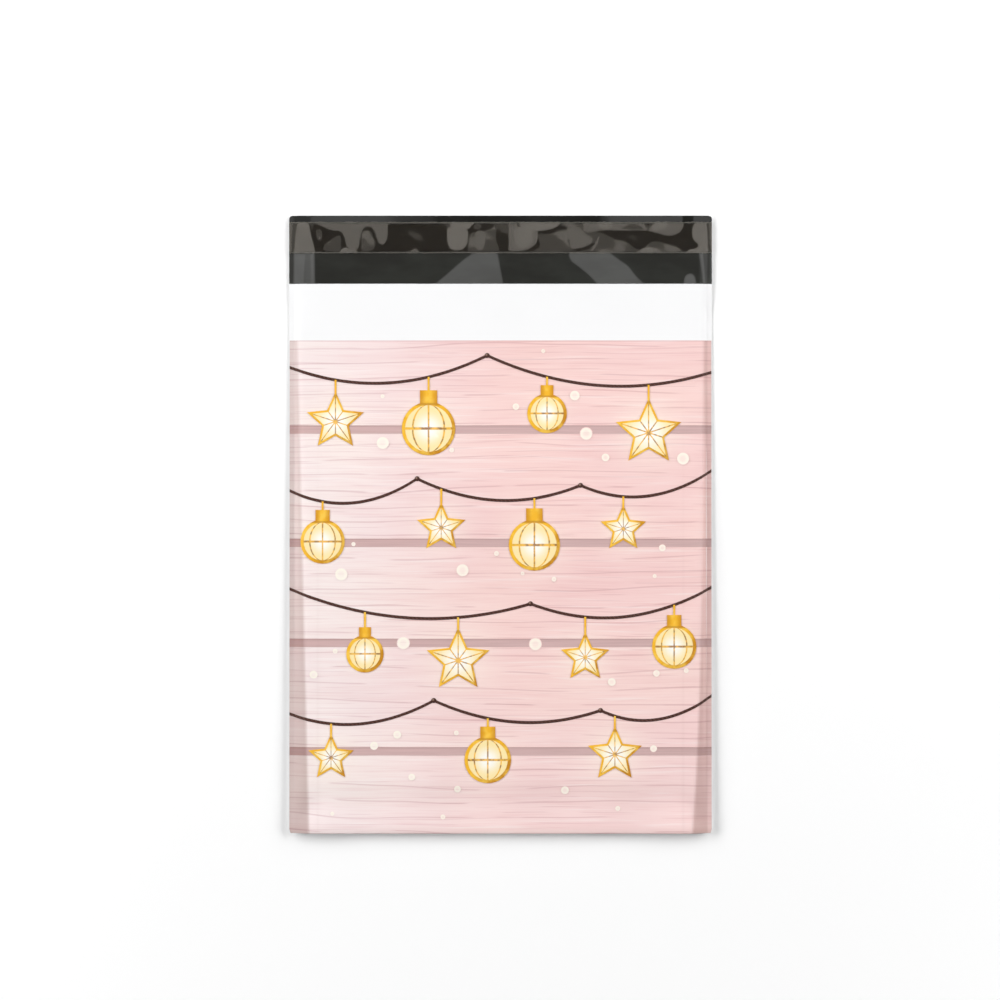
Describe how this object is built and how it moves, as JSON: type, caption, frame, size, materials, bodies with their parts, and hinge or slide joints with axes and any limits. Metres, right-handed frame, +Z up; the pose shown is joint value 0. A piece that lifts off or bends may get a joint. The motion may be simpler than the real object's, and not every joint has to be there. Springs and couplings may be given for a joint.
{
  "type": "poly mailer bag",
  "caption": "Flat, empty mailing bag of thin plastic film: a side-welded pouch with a printed front, and a dark sealing flap with an adhesive strip under a clear release liner.",
  "frame": {"origin": "under the middle of the bag, on the surface that it lies on", "axes": "+X across the bag to the right as it is read from the front, +Y from the bottom fold to the flap, +Z up through the printed front"},
  "size_m": [0.254, 0.371, 0.004],
  "materials": {
    "white_film": "white outside, charcoal inside, smooth satin polyethylene film",
    "charcoal_film": "the film's charcoal inner side, which shows on the flap, smooth and glossy",
    "adhesive": "hot-melt adhesive, brown over the charcoal film",
    "clear_liner": "clear glossy release film, crinkled",
    "pink_ink": "printed pale pink painted boards with fine grain",
    "mauve_ink": "printed shade of the joints between boards",
    "brown_ink": "printed dark brown cord",
    "gold_ink": "printed gold",
    "cream_ink": "printed warm cream glow"
  },
  "bodies": {
    "root": {"film_bag": "white_film", "flap_lining": "charcoal_film", "adhesive_strip": "adhesive", "release_liner": "clear_liner", "print_field": "pink_ink", "print_joint_1": "mauve_ink", "print_joint_2": "mauve_ink", "print_joint_3": "mauve_ink", "print_joint_4": "mauve_ink", "print_cord_1": "brown_ink", "print_cord_2": "brown_ink", "print_cord_3": "brown_ink", "print_cord_4": "brown_ink", "print_star_1": "gold_ink", "print_star_1_glow": "cream_ink", "print_globe_1": "gold_ink", "print_globe_1_glow": "cream_ink", "print_globe_2": "gold_ink", "print_globe_2_glow": "cream_ink", "print_star_2": "gold_ink", "print_star_2_glow": "cream_ink", "print_globe_3": "gold_ink", "print_globe_3_glow": "cream_ink", "print_star_3": "gold_ink", "print_star_3_glow": "cream_ink", "print_globe_4": "gold_ink", "print_globe_4_glow": "cream_ink", "print_star_4": "gold_ink", "print_star_4_glow": "cream_ink", "print_globe_5": "gold_ink", "print_globe_5_glow": "cream_ink", "print_star_5": "gold_ink", "print_star_5_glow": "cream_ink", "print_star_6": "gold_ink", "print_star_6_glow": "cream_ink", "print_globe_6": "gold_ink", "print_globe_6_glow": "cream_ink", "print_star_7": "gold_ink", "print_star_7_glow": "cream_ink", "print_globe_7": "gold_ink", "print_globe_7_glow": "cream_ink", "print_star_8": "gold_ink", "print_star_8_glow": "cream_ink"}
  },
  "joints": []
}
